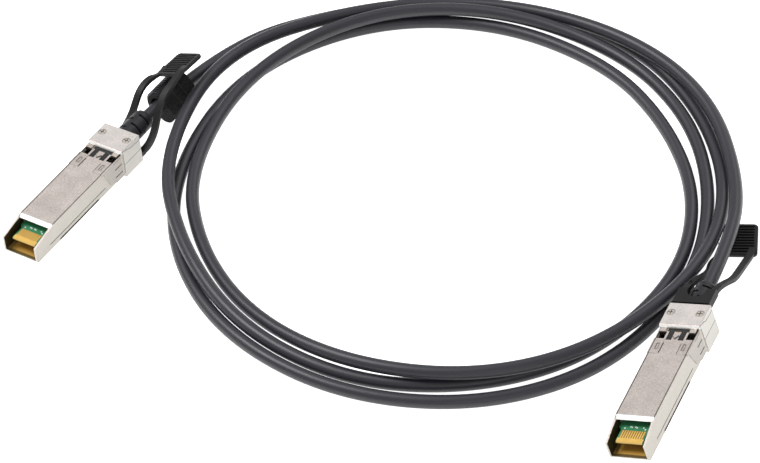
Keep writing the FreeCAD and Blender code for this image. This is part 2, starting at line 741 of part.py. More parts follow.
def pull_tab(label, placement, root, straps, paddle, over_boot):
    """Moulded loop: a root block on the slider's arms, two straps and a ribbed finger paddle."""
    width = val("strap_width")
    thick = val("strap_thick")
    outer = val(f"{HOOD} - tab_inset")
    behind = val(f"{REAR} + tab_gap")
    low, high, reach = root
    block = Part.makeBox(2 * outer, reach, high - low, Vector(-outer, behind, low))
    if over_boot:
        notch = Part.makeCylinder(val("boot_start_radius + boot_clearance"), reach + 2,
                                  Vector(0, behind - 1, val("cable_height")), Vector(0, 1, 0))
        scoop = Part.makeCylinder(val("scoop_radius"), high + 5, Vector(0, behind + reach - 0.6, low - 1))
        block = block.cut(notch).cut(scoop)
    level = val("body_height - slider_thick") if over_boot else val("arm_low")
    inner = val("arm_inner")
    solid = block
    for first in (-val("bar_half"), inner):
        arm = Part.makeBox(val("bar_half") - inner, val(ARM_END) - behind + 1, val("slider_thick"),
                           Vector(first, behind - 1, level))
        solid = solid.cut(arm)
    # stations are measured from the hood's back
    back = Vector(0, val(REAR), 0)
    for strap in straps:
        solid = solid.fuse(ribbon([(Vector(*spot) + back, lean) for spot, lean in strap], width, thick))
    corner, along, across, length, breadth = paddle
    solid = solid.fuse(finger_paddle(Vector(*corner) + back, along, across, length, breadth))
    return feature(label, solid.removeSplitter(), placement)


def finger_paddle(corner, along, across, length, breadth):
    """Rounded plate with raised cross ribs, in the plane of two directions."""
    run = Vector(*along).normalize()
    side = Vector(*across)
    side = (side - run * side.dot(run)).normalize()
    thick = val("paddle_thick")
    border = val("paddle_border")
    plate = Part.makeBox(breadth, length, thick, Vector(-breadth / 2, 0, -thick / 2))
    uprights = [edge for edge in plate.Edges if abs(edge.BoundBox.ZLength - thick) < 0.01]
    plate = plate.makeFillet(val("paddle_corner"), uprights)
    flats = [edge for edge in plate.Edges if edge.BoundBox.ZLength < 0.01]
    plate = plate.makeChamfer(val("paddle_bevel"), flats)
    count = int(val("rib_count"))
    pitch = (length - 2 * border) / (count + 1 - val("rib_share"))
    groove = pitch * (1 - val("rib_share"))
    for number in range(count + 1):
        spot = Vector(border - breadth / 2, border + number * pitch, thick / 2 - val("rib_depth"))
        plate = plate.cut(Part.makeBox(breadth - 2 * border, min(groove, length - border - spot.y), 1, spot))
    frame = FreeCAD.Matrix(side.x, run.x, side.cross(run).x, corner.x,
                           side.y, run.y, side.cross(run).y, corner.y,
                           side.z, run.z, side.cross(run).z, corner.z, 0, 0, 0, 1)
    plate.Placement = Placement(frame)
    return plate


def cable_tie(label, start, length):
    """Hook-and-loop strip wound into a sleeve on the lead and a slanting roll beside it."""
    axis = Vector(0, 1, 0)
    bore = val("tie_bore")
    outer = bore + val("tie_sleeve")
    step = val("tie_step")
    solid = Part.makeCylinder(outer, length, start, axis)
    # turns of the strip, each set back from the one inside it
    lean = Vector(val("tie_roll_across"), 0, -val("tie_roll_across"))
    for grown, setback in ((0.0, 0.0), (step, val("tie_front")), (2 * step, val("tie_rear"))):
        spot = start + Vector(0, setback, 0)
        band = length - setback
        radius = val("tie_roll_radius") + grown
        roll = Part.makeCylinder(radius, band, spot + lean, axis)
        bridge = Part.makeBox(lean.Length, band, 2 * radius, Vector(0, 0, -radius))
        bridge.Placement = Placement(spot, Rotation(axis, 45))
        solid = solid.fuse(roll).fuse(bridge)
    bored = solid.cut(Part.makeCylinder(bore, length + 2, start - axis, axis))
    floor = Part.makeBox(40, length + 2, 20, Vector(start.x - 20, start.y - 1, -20))
    return feature(label, bored.cut(floor).removeSplitter(), Placement())


# Where each plug rests: nose position and turns (about Z, then X, then Y).
LEFT_PLACE = Placement(Vector(-110.32, -61.98, 1.6), Rotation())
RIGHT_PLACE = Placement(
    Vector(110.86, -48.56, 1.61),
    Rotation(Vector(0, 0, 1), 8.307) * Rotation(Vector(1, 0, 0), 1.848) * Rotation(Vector(0, 1, 0), -13.79))

# The lead's centre line, from the left plug to the right one.
ROUTE = [
    (-110.32, -4.96, 6.6), (-110.32, 50.04, 6.6), (-80.76, 96.54, 2.3), (-37.26, 121.54, 2.3),
    (14.24, 124.04, 2.3), (53.24, 103.04, 2.3), (82.24, 68.54, 3.4), (92.74, 27.54, 7.4),
    (81.24, -15.96, 7.2), (54.74, -44.96, 7.4), (15.24, -57.96, 6.6), (-25.76, -51.46, 2.5),
    (-59.26, -32.46, 2.3), (-84.76, -2.46, 3.1), (-93.26, 46.54, 6.1), (-73.76, 90.04, 7.5),
    (-34.26, 113.54, 7.4), (13.74, 117.04, 3.1), (50.74, 98.54, 2.3), (77.24, 66.04, 2.3),
    (90.74, 27.04, 2.3), (85.74, -18.46, 2.3), (58.74, -51.46, 2.3), (16.24, -67.46, 2.3),
    (-29.26, -61.96, 2.3), (-65.26, -38.96, 2.3), (-89.26, -3.96, 2.3), (-97.26, 47.04, 2.3),
    (-74.76, 90.54, 2.3), (-33.26, 112.04, 2.3), (12.74, 109.54, 2.3), (45.74, 91.54, 2.3),
    (72.74, 63.54, 2.3), (85.74, 27.04, 2.3), (78.74, -14.96, 2.3), (53.74, -44.96, 2.3),
    (15.74, -61.46, 2.3), (-27.26, -57.96, 4.0), (-63.76, -36.96, 7.4), (-93.26, -4.46, 7.6),
    (-105.76, 49.04, 8.6), (-77.76, 94.04, 5.6), (-35.76, 118.54, 5.7), (13.74, 121.54, 7.0),
    (54.74, 105.54, 7.5), (85.24, 70.54, 6.1), (97.07, 37.66, 9.29), (101.47, 7.49, 8.31)]

# Straps as stations of centre and lean, measured from the hood's back; each paddle as front middle,
# run, breadth direction and sizes.
LEFT_STRAPS = [
    [((5.0, 1.3, 0.1), 0), ((5.9, 4.2, 0.7), 0), ((6.2, 7.7, 2.8), 0), ((5.8, 11.1, 6.0), 0),
     ((5.3, 14.5, 9.9), 0), ((5.4, 18.7, 13.2), -6), ((5.9, 23.5, 15.2), -16), ((6.1, 30.7, 16.0), -20)],
    [((-5.0, 1.3, 0.1), 0), ((-5.5, 5.2, 0.8), 0), ((-5.5, 9.7, 3.0), 0), ((-5.3, 13.5, 6.0), 0),
     ((-5.2, 16.1, 9.0), 0), ((-5.0, 19.7, 11.5), -6), ((-4.1, 24.4, 12.3), -16), ((-2.8, 30.7, 12.6), -20)]]
LEFT_PADDLE = ((1.6, 25.7, 14.3), (0.06, 1.0, 0.0), (1.0, 0.0, 0.4), 13.0, 11.4)
RIGHT_STRAPS = [
    [((4.9, 2.7, 8.7), 0), ((5.2, 7.5, 8.4), 0), ((5.4, 12.8, 6.5), 0), ((5.4, 18.6, 3.2), 2),
     ((4.3, 25.6, 0.1), 5), ((3.2, 33.0, -2.5), 10), ((2.4, 41.0, -4.1), 14)],
    [((-4.9, 2.7, 8.7), 0), ((-5.0, 6.5, 8.5), 0), ((-5.0, 9.5, 7.8), 0), ((-4.6, 15.5, 5.6), 0),
     ((-4.5, 19.8, 3.3), 2), ((-5.3, 24.5, 0.9), 6), ((-6.7, 30.5, -0.9), 12), ((-7.6, 40.0, -1.9), 14)]]
RIGHT_PADDLE = ((-0.6, 36.9, -3.63), (-0.31, 0.95, 0.0445), (0.951, 0.31, -0.2433), 14.8, 11.4)

PLUGS = [("left", LEFT_PLACE, True, (-1.0, 0.6, 2.6), LEFT_STRAPS, LEFT_PADDLE),
         ("right", RIGHT_PLACE, False, (7.4, 10.0, 6.5), RIGHT_STRAPS, RIGHT_PADDLE)]

parts = []
for side, place, low_arms, root, straps, paddle in PLUGS:
    parts.append(base_housing(f"{side}_base_housing", place))
    parts.append(top_cover(f"{side}_top_cover", place))
    parts.append(emi_collar(f"{side}_emi_collar", place))
    parts.append(paddle_card(f"{side}_paddle_card", place))
    parts.append(contact_pads(f"{side}_contact_pads", place))
    parts.append(card_parts(f"{side}_card_parts", place))
    parts.append(wire_pairs(f"{side}_wire_pairs", place))
    parts.append(crimp_ferrule(f"{side}_crimp_ferrule", place))
    parts.append(strain_relief(f"{side}_strain_relief", place))
    parts.append(latch_slider(f"{side}_latch_slider", place, low_arms))
    parts.append(latch_springs(f"{side}_latch_springs", place))
    parts.append(hood_screws(f"{side}_hood_screws", place))
    parts.append(pull_tab(f"{side}_pull_tab", place, root, straps, paddle, not low_arms))

cord, cord_length, cord_radii = tube(ROUTE, val("cable_radius"))
parts.append(feature("cable", cord, Placement()))
parts.append(cable_tie("cable_tie", Vector(-110.32, 17.2, 6.6), 14.6))
doc.recompute()

print("cord length", round(cord_length, 1), "radii", [round(radius, 1) for radius in cord_radii])
section = math.pi * val("cable_radius") ** 2
print("cord volume over section times length", round(cord.Volume / (section * cord_length), 4))

os.makedirs("parts", exist_ok=True)
for item in doc.Objects:
    if "Invalid" in item.State or "Error" in item.State:
        raise RuntimeError(f"{item.Label} failed: {item.State}")
for item in parts:
    if item.Shape.isNull() or not item.Shape.isValid():
        raise RuntimeError(f"{item.Label} has no valid shape")
    item.Shape.exportStep(f"parts/{item.Label}.step")
    print(item.Label, len(item.Shape.Solids), round(item.Shape.Volume, 2))
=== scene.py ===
import bpy
import bmesh
import math
from mathutils import Matrix, Quaternion, Vector


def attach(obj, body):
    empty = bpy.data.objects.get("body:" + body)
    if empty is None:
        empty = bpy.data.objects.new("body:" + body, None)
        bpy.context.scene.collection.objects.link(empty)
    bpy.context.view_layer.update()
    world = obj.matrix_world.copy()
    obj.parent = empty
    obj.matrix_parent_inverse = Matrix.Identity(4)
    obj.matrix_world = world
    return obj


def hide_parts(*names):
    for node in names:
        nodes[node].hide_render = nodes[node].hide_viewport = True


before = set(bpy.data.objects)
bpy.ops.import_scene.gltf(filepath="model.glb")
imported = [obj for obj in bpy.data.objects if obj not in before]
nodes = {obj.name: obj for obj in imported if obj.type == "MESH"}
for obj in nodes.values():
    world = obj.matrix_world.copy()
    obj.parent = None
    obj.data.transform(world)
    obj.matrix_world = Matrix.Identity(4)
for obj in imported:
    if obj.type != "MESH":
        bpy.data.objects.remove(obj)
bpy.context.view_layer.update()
millimetre = 0.001
print("frame loaded,", len(nodes), "nodes")

# camera

cameraSpec = {
    "target": (-0.01283, 0.00426, 0.0),
    "azimuth": -53.43,
    "elevation": 42.31,
    "distance": 1.1776,
    "roll": -6.238,
    "lens": 170.5,
    "sensor": 36,
    "near": 0.05,
    "far": 20,
}


def addCamera(spec):
    data = bpy.data.cameras.new("camera")
    data.lens = spec["lens"]
    data.sensor_width = spec["sensor"]
    data.clip_start = spec["near"]
    data.clip_end = spec["far"]
    camera = bpy.data.objects.new("camera", data)
    bpy.context.collection.objects.link(camera)
    azimuth = math.radians(spec["azimuth"])
    elevation = math.radians(spec["elevation"])
    away = Vector((math.cos(azimuth) * math.cos(elevation),
                   math.sin(azimuth) * math.cos(elevation), math.sin(elevation)))
    camera.location = Vector(spec["target"]) + away * spec["distance"]
    level = away.to_track_quat("Z", "Y")
    tilt = Quaternion((0, 0, 1), math.radians(spec["roll"]))
    camera.rotation_mode = "QUATERNION"
    camera.rotation_quaternion = level @ tilt
    bpy.context.scene.camera = camera


addCamera(cameraSpec)

# shader maths


class Link:  # one socket, with the sums that materials need
    def __init__(self, graph, socket):
        self.graph = graph
        self.socket = socket

    def maths(self, operation, *others):
        return self.graph.node("ShaderNodeMath", {"operation": operation},
                               {index: value for index, value in enumerate((self, *others))})

    def __add__(self, other):
        return self.maths("ADD", other)

    def __sub__(self, other):
        return self.maths("SUBTRACT", other)

    def __gt__(self, other):
        return self.maths("GREATER_THAN", other)

    def __lt__(self, other):
        return self.maths("LESS_THAN", other)

    def __abs__(self):
        return self.maths("ABSOLUTE")

    def __mul__(self, other):
        return self.maths("MULTIPLY", other)

    def __or__(self, other):
        return self.maths("MAXIMUM", other)

    def __rsub__(self, other):
        return (self * -1) + other

    __radd__ = __add__
    __rmul__ = __mul__
    __ror__ = __or__

    def within(self, low, high):
        return (self > low) * (self < high)

    def beyondWhole(self):  # what is left over a whole number
        return self.maths("FRACT")

    def wave(self):
        return self.maths("SINE")


class Graph:
    def __init__(self, name):
        self.material = bpy.data.materials.new(name)
        self.material.use_nodes = True
        self.tree = self.material.node_tree
        self.shader = self.tree.nodes["Principled BSDF"]

    def plug(self, target, value):
        if isinstance(value, Link):
            self.tree.links.new(value.socket, target)
        else:
            target.default_value = value

    def node(self, kind, settings=None, inputs=None, output=0):
        made = self.tree.nodes.new(kind)
        for key, value in (settings or {}).items():
            setattr(made, key, value)
        for key, value in (inputs or {}).items():
            self.plug(made.inputs[key], value)
        return Link(self, made.outputs[output])

    def spot(self):
        return self.node("ShaderNodeTexCoord", output="Object")

    def split(self, vector):
        return [self.node("ShaderNodeSeparateXYZ", None, {"Vector": vector}, output=axis)
                for axis in range(3)]

    def plugSpot(self, plug):  # across, along and up in one plug's own millimetres
        turned = self.node("ShaderNodeMapping", {"vector_type": "TEXTURE"},
                           {"Vector": self.spot(), "Location": plug["nose"],
                            "Rotation": plug["turn"], "Scale": (millimetre,) * 3})
        return self.split(turned)

    def facingUp(self):
        normal = self.node("ShaderNodeNewGeometry", output="Normal")
        return self.split(normal)[2]

    def noise(self, scale, detail=2.0, rough=0.5):
        return self.node("ShaderNodeTexNoise", None, {"Vector": self.spot(), "Scale": scale,
                                                     "Detail": detail, "Roughness": rough})

    def blend(self, factor, first, second):  # sockets 6, 7 and 2 are the node's colours
        return self.node("ShaderNodeMix", {"data_type": "RGBA"},
                         {"Factor": factor, 6: first, 7: second}, output=2)

    def bump(self, height, distance):
        return self.node("ShaderNodeBump", None, {"Height": height, "Distance": distance,
                                                 "Strength": 1.0})

    def surface(self, **inputs):
        for key, value in inputs.items():
            self.plug(self.shader.inputs[key.replace("_", " ")], value)
        return self.material


def sharpen(tone, gain):
    return (tone - 0.5) * gain + 0.5


def mixed(first, second, share):  # a share of the first, and the rest of the second
    return first * share + second * (1 - share)


def uneven(tone, roughness, spread=0.2):  # roughness that wanders round its mean
    return tone * spread + (roughness - spread / 2)


def rgb(red, green, blue):
    return (red, green, blue, 1.0)


# plating of the two plugs

plugs = {
    "left": {"nose": (-0.11032, -0.06198, 0.0016), "turn": (0, 0, 0)},
    "right": {"nose": (0.11086, -0.04856, 0.00161), "turn": (
        Matrix.Rotation(math.radians(8.307), 3, "Z") @ Matrix.Rotation(math.radians(1.848), 3, "X")
        @ Matrix.Rotation(math.radians(-13.79), 3, "Y")).to_euler("XYZ")},
}
far = 99  # millimetres, past any place on a plug

# Each place on a plug is a box in millimetres: reach to each side, stretch from the nose, height.

platingSpec = {
    # top and side tones: painted light and shade, chosen by which way a face points
    "topLight": rgb(0.70, 0.63, 0.595),
    "topDark": rgb(0.34, 0.295, 0.27),
    "sideLight": rgb(0.74, 0.70, 0.64),
    "sideDark": rgb(0.57, 0.54, 0.48),
    # bright: painted highlight on the hood's lip and on the band at the back of the nose, and the whole hood
    # lightened a quarter of the way to it
    "bright": rgb(1.0, 1.0, 0.98),
    "shade": rgb(0.026, 0.022, 0.019),
    # nose colours: painted reflection of the gold card on the nose's floor, a brighter strip of it, a dark
    # front edge, and painted shade on the walls
    "nose": rgb(0.50, 0.30, 0.07),
    "noseDark": rgb(0.038, 0.030, 0.009),
    "noseGlow": rgb(0.56, 0.32, 0.06),
    "noseEdge": rgb(0.13, 0.085, 0.022),
    "mark": rgb(0.42, 0.27, 0.12),
    "grain": 1900,
    "cloud": 160,
    "grainShare": 0.75,
    "contrast": 2.2,
    "stain": 200,
    "stainContrast": 1.6,
    "speck": 1100,
    "speckLimit": 0.6,
    "roughness": 0.45,
    "spread": 0.16,
    "metal": 0.35,
    "grainDepth": 0.00006,
    "level": 0.8,  # a face is level where its upward part is over this
    "hoodShare": 0.25,
    "markShare": 0.7,
}

collarSpec = {
    **platingSpec,
    # the collar's sides get their own painted light and shade
    "sideLight": rgb(0.60, 0.555, 0.50),
    "sideDark": rgb(0.44, 0.41, 0.37),
    "roughness": 0.38,
}

platingPlaces = {
    # the hood's lip and the band get a painted highlight
    "hoodLip": ((-far, far), (48.9, 49.3), (8.75, far)),
    "band": ((-far, 6.38), (9.15, 10.52), (7.52, far)),
    "hood": ((-far, far), (49.9, far), (-far, far)),
    "marks": ((-far, far), (47.0, 49.2), (8.44, 9.2)),
    # inside the nose, where its reflection and shade are painted
    "nose": ((-far, 6.05), (-far, 10.6), (0.9, 7.52)),
    "noseGlow": ((-far, 4.6), (1.2, 6.0), (0.9, 1.4)),
    "noseEdge": ((-far, 6.05), (-far, 1.0), (0.9, 7.52)),
}

# painted shade in the seams, slits and grooves, and over the inside seen through the windows
darkPlaces = [  # the last number is how dark
    ((6.22, 6.52), (10.5, 49.0), (8.2, far), 0.95),  # seam round the cover
    ((-far, 6.32), (42.0, 49.2), (1.1, 8.43), 1.0),  # inside, seen through the windows
    ((3.75, 6.4), (46.5, 47.3), (8.4, 8.85), 1.0),  # rear edge of the windows
    ((6.6, 6.965), (50.0, 60.0), (4.0, 9.4), 0.85),  # floor of the stepped seam in the hood
    ((-far, 1.15), (45.75, 45.95), (8.4, far), 0.6),  # base of the latch boss
    ((6.2, far), (7.4, 38.6), (2.06, 2.42), 0.7),  # parting groove
    ((6.2, far), (12.6, 34.5), (0.12, 0.84), 0.85),  # keyway
    ((6.2, far), (44.7, 48.5), (1.98, 2.44), 0.85),  # lower slit of the collar
    ((6.2, far), (44.7, 48.5), (5.07, 5.53), 0.85),  # upper slit of the collar
    ((6.2, far), (49.9, 59.4), (3.66, 3.86), 0.85),  # seam of the hood
    ((2.88, 3.2), (38.0, 42.6), (8.45, far), 1.0),  # slit beside the collar's tab
]

# painted shade along the edges of the triangular latch boss and in the stamped ring beside the collar's tab
bossSpec = {"tip": 44.3, "slope": 0.75, "line": 0.17, "stretch": (44.2, 45.9), "share": 0.6}

ringSpec = {
    "outer": ((4.0, 5.1), (39.4, 42.2), (8.45, far)),
    "inner": ((4.3, 4.8), (39.75, 41.85), (8.45, far)),
    "share": 0.6,
}


def placed(spot, reach, stretch, height):  # mask of a place
    aside, along, up = spot
    return aside.within(*reach) * along.within(*stretch) * up.within(*height)


def shades(spot):  # painted shade in the seams, slits, windows and grooves of the metal
    aside, along = spot[:2]
    dark = 0
    for reach, stretch, height, share in darkPlaces:
        dark = dark | placed(spot, reach, stretch, height) * share
    ring = placed(spot, *ringSpec["outer"]) - placed(spot, *ringSpec["inner"])
    flank = abs(aside - (along - bossSpec["tip"]) * bossSpec["slope"]) < bossSpec["line"]
    dark = dark | ring * ringSpec["share"]
    return dark | flank * along.within(*bossSpec["stretch"]) * bossSpec["share"]


def makePlating(name, spec, plug):
    graph = Graph(name)
    across, along, up = graph.plugSpot(plug)
    spot = (abs(across), along, up)  # the same on both sides of a plug
    places = {key: placed(spot, *place) for key, place in platingPlaces.items()}
    grain = graph.noise(spec["grain"], 3.0, 0.7)
    cloud = graph.noise(spec["cloud"])
    tone = sharpen(mixed(grain, cloud, spec["grainShare"]), spec["contrast"])
    # level faces take the top tones and the rest the side tones: painted light and shade by facing
    level = graph.facingUp() > spec["level"]
    colour = graph.blend(level, graph.blend(tone, spec["sideDark"], spec["sideLight"]),
                         graph.blend(tone, spec["topDark"], spec["topLight"]))
    # painted highlight on the lip and the band; the hood is lightened a quarter of the way to the same white
    colour = graph.blend(places["hoodLip"] | places["band"], colour, spec["bright"])
    colour = graph.blend(places["hood"] * spec["hoodShare"], colour, spec["bright"])
    specks = graph.noise(spec["speck"]) > spec["speckLimit"]
    colour = graph.blend(places["marks"] * specks * spec["markShare"], colour, spec["mark"])
    # the nose's floor gets a mottled painted reflection of the gold card, its walls painted shade; then a
    # brighter strip of reflection and a dark front edge
    stain = sharpen(graph.noise(spec["stain"], 1.0), spec["stainContrast"]) * level
    colour = graph.blend(places["nose"], colour, graph.blend(stain, spec["noseDark"], spec["nose"]))
    colour = graph.blend(places["noseGlow"] * level, colour, spec["noseGlow"])
    colour = graph.blend(places["noseEdge"] * level, colour, spec["noseEdge"])
    colour = graph.blend(shades(spot), colour, spec["shade"])
    return graph.surface(Base_Color=colour, Metallic=spec["metal"],
                         Roughness=uneven(cloud, spec["roughness"], spec["spread"]),
                         Normal=graph.bump(grain, spec["grainDepth"]))


# screws, card and gold pads of a plug, in the same millimetres

screwSpec = {
    "across": 5.0,
    "along": 55.0,
    "slotHalf": 0.24,
    "slotReach": 1.0,
    "slotTop": 9.8,
    "slotShare": 0.45,
    "rim": 1.166,
    "rimShare": 0.35,
    "grain": 1200,
    "roughness": 0.35,
    "metal": 0.4,
    "dark": rgb(0.50, 0.47, 0.43),
    "light": rgb(0.74, 0.71, 0.65),
    # slot and edge: painted shade, tinted brown, in the cross slot and round the rim of the head
    "slot": rgb(0.22, 0.14, 0.07),
    "edge": rgb(0.30, 0.25, 0.19),
}


def makeScrew(name, spec, plug):
    graph = Graph(name)
    across, along, up = graph.plugSpot(plug)
    aside = abs(abs(across) - spec["across"])
    ahead = abs(along - spec["along"])
    half, reach = spec["slotHalf"], spec["slotReach"]
    cross = ((aside < half) * (ahead < reach)) | ((ahead < half) * (aside < reach))
    rim = (aside * aside + ahead * ahead) > spec["rim"] ** 2
    grain = graph.noise(spec["grain"], 3.0)
    colour = graph.blend(grain, spec["dark"], spec["light"])
    # painted shade in the cross slot and round the rim of the head
    colour = graph.blend(cross * (up < spec["slotTop"]) * spec["slotShare"], colour, spec["slot"])
    colour = graph.blend(rim * spec["rimShare"], colour, spec["edge"])
    return graph.surface(Base_Color=colour, Metallic=spec["metal"],
                         Roughness=uneven(grain, spec["roughness"]))


padSpec = {
    "pitch": 0.8,
    "half": 0.29,  # half of a pad's bright stripe, as a share of the pitch
    "stripes": 4.1,  # the plating runs unbroken from the card's edge to here
    "dark": rgb(0.78, 0.46, 0.09),
    "light": rgb(0.95, 0.66, 0.19),
    "gap": rgb(0.52, 0.25, 0.05),
    "grain": 700,
    "roughness": 0.35,
    "metal": 0.35,
}


def makePads(name, spec, plug):
    graph = Graph(name)
    across, along = graph.plugSpot(plug)[:2]
    aside = abs((across * (1 / spec["pitch"])).beyondWhole() - 0.5)  # nought in the middle of a pad
    grain = graph.noise(spec["grain"], 3.0)
    colour = graph.blend(grain, spec["dark"], spec["light"])
    colour = graph.blend((aside > spec["half"]) * (along > spec["stripes"]), colour, spec["gap"])
    return graph.surface(Base_Color=colour, Metallic=spec["metal"],
                         Roughness=uneven(grain, spec["roughness"]))


boardSpec = {
    "dark": rgb(0.022, 0.17, 0.065),
    "light": rgb(0.06, 0.33, 0.15),
    "tick": rgb(0.92, 0.97, 0.93),
    "between": rgb(0.17, 0.075, 0.012),
    "edge": rgb(0.86, 0.56, 0.14),
    "mottle": 700,
    "roughness": 0.4,
    "padsEnd": 7.35,
    "padsReach": 4.05,
    "edgeEnd": 4.1,
    "edgeReach": 4.4,
    "tickHalf": (0.22, 0.28),
    "ticks": [(-1.9, 9.0), (-1.35, 8.8), (-0.2, 8.95), (0.35, 8.75), (2.5, 8.9), (3.3, 8.2),
              (-3.6, 8.2)],
}


def makeBoard(name, spec, plug):
    graph = Graph(name)
    across, along = graph.plugSpot(plug)[:2]
    reach = abs(across)
    mottle = graph.noise(spec["mottle"], 3.0)
    wide, long = spec["tickHalf"]
    ticks = 0
    for x, y in spec["ticks"]:
        ticks = ticks | across.within(x - wide, x + wide) * along.within(y - long, y + long)
    colour = graph.blend(mottle, spec["dark"], spec["light"])
    colour = graph.blend(ticks, colour, spec["tick"])
    colour = graph.blend((along < spec["padsEnd"]) * (reach < spec["padsReach"]), colour, spec["between"])
    colour = graph.blend((along < spec["edgeEnd"]) * (reach < spec["edgeReach"]), colour, spec["edge"])
    return graph.surface(Base_Color=colour, Roughness=uneven(mottle, spec["roughness"]))


# jacket, tie and the plain finishes

jacketSpec = {
    "dark": rgb(0.017, 0.017, 0.0225),
    "light": rgb(0.034, 0.034, 0.044),
    "fine": 1600,
    "broad": 35,
    "fineShare": 0.6,
    "roughness": 0.42,
    "spread": 0.12,
    "depth": 0.00003,
}


def makeJacket(name, spec):
    graph = Graph(name)
    fine = graph.noise(spec["fine"], 3.0, 0.6)
    broad = graph.noise(spec["broad"])
    colour = graph.blend(mixed(fine, broad, spec["fineShare"]), spec["dark"], spec["light"])
    return graph.surface(Base_Color=colour, Roughness=uneven(broad, spec["roughness"], spec["spread"]),
                         Normal=graph.bump(fine, spec["depth"]))


tieSpec = {
    "start": 0.0172,
    "layers": (0.0056, 0.0096),  # from the start to the edge of each outer turn
    "edge": (-0.0002, 0.0001),
    "weave": 9000,
    "weaveShare": 0.25,
    "weaveHeight": 0.5,
    "loops": 2400,
    "loopShare": 0.6,
    "dark": rgb(0.001, 0.001, 0.001),
    "light": rgb(0.014, 0.014, 0.014),
    # worn: a lighter tone along the edge of each outer turn
    "worn": rgb(0.16, 0.15, 0.14),
    "wornShare": 0.5,
    "roughness": 0.9,
    "depth": 0.00025,
}


def makeFabric(name, spec):
    graph = Graph(name)
    along = graph.split(graph.spot())[1]
    weave = (along * spec["weave"]).wave()
    loops = graph.noise(spec["loops"], 2.0, 0.8)
    low, high = spec["edge"]
    edges = 0
    for layer in spec["layers"]:
        step = spec["start"] + layer
        edges = edges | along.within(step + low, step + high)
    colour = graph.blend(weave * spec["weaveShare"] + loops * spec["loopShare"], spec["dark"], spec["light"])
    # the edge of each outer turn is lightened, broken up by the loops
    colour = graph.blend(edges * loops * spec["wornShare"], colour, spec["worn"])
    return graph.surface(Base_Color=colour, Roughness=spec["roughness"],
                         Normal=graph.bump(weave * spec["weaveHeight"] + loops, spec["depth"]))


grainedSpecs = {
    "chip": {"name": "chipBlack", "dark": rgb(0.012, 0.012, 0.012), "light": rgb(0.03, 0.03, 0.03),
             "roughness": 0.5},
    "wire": {"name": "wireFoil", "dark": rgb(0.4, 0.4, 0.42), "light": rgb(0.6, 0.6, 0.62),
             "roughness": 0.35, "metal": 0.6},
    "ferrule": {"name": "ferruleBrass", "dark": rgb(0.35, 0.25, 0.11), "light": rgb(0.5, 0.37, 0.18),
                "roughness": 0.35, "scale": 700, "depth": 0.00002, "metal": 1.0},
    "boot": {"name": "bootRubber", "dark": rgb(0.009, 0.009, 0.011), "light": rgb(0.022, 0.022, 0.027),
             "roughness": 0.45, "scale": 1400, "shine": 0.35},
    "latch": {"name": "latchBlack", "dark": rgb(0.006, 0.006, 0.006), "light": rgb(0.014, 0.013, 0.014),
              "roughness": 0.45, "scale": 1200},
    "spring": {"name": "springSteel", "dark": rgb(0.3, 0.3, 0.3), "light": rgb(0.5, 0.5, 0.5),
               "roughness": 0.3, "depth": 0.00001, "metal": 1.0},
    "tab": {"name": "tabRubber", "dark": rgb(0.006, 0.006, 0.006), "light": rgb(0.016, 0.016, 0.016),
            "roughness": 0.5, "scale": 1300, "shine": 0.25},
}


def makeGrained(name, dark, light, roughness, scale=900, depth=0.00003, metal=0.0, shine=0.5):
    graph = Graph(name)
    grain = graph.noise(scale, 3.0, 0.6)
    colour = graph.blend(grain, dark, light)
    return graph.surface(Base_Color=colour, Metallic=metal, Roughness=uneven(grain, roughness),
                         Normal=graph.bump(grain, depth), Specular_IOR_Level=shine)


finishes = {key: makeGrained(**spec) for key, spec in grainedSpecs.items()}
finishes["jacket"] = makeJacket("jacketGrey", jacketSpec)
finishes["tie"] = makeFabric("tieFabric", tieSpec)
for side, plug in plugs.items():
    finishes[side + "Shell"] = makePlating(side + "Plating", platingSpec, plug)
    finishes[side + "Collar"] = makePlating(side + "CollarPlating", collarSpec, plug)
    finishes[side + "Screw"] = makeScrew(side + "ScrewPlate", screwSpec, plug)
    finishes[side + "Board"] = makeBoard(side + "BoardGreen", boardSpec, plug)
    finishes[side + "Pads"] = makePads(side + "PadGold", padSpec, plug)


def paint(thing, finish):
    thing.data.materials.clear()
    thing.data.materials.append(finishes[finish])


slots = {  # a finish with a capital has one for each plug
    "base_housing": "Shell", "top_cover": "Shell", "emi_collar": "Collar", "paddle_card": "Board",
    "contact_pads": "Pads", "card_parts": "chip", "wire_pairs": "wire", "crimp_ferrule": "ferrule",
    "strain_relief": "boot", "latch_slider": "latch", "latch_springs": "spring",
    "hood_screws": "Screw", "pull_tab": "tab", "cable_tie": "tie",
}
for nodeName, thing in nodes.items():
    side = nodeName.split("_")[0]
    for ending, finish in slots.items():
        if nodeName.endswith(ending):
            paint(thing, side + finish if finish[0].isupper() else finish)
print("finishes laid on the solids")

# lead

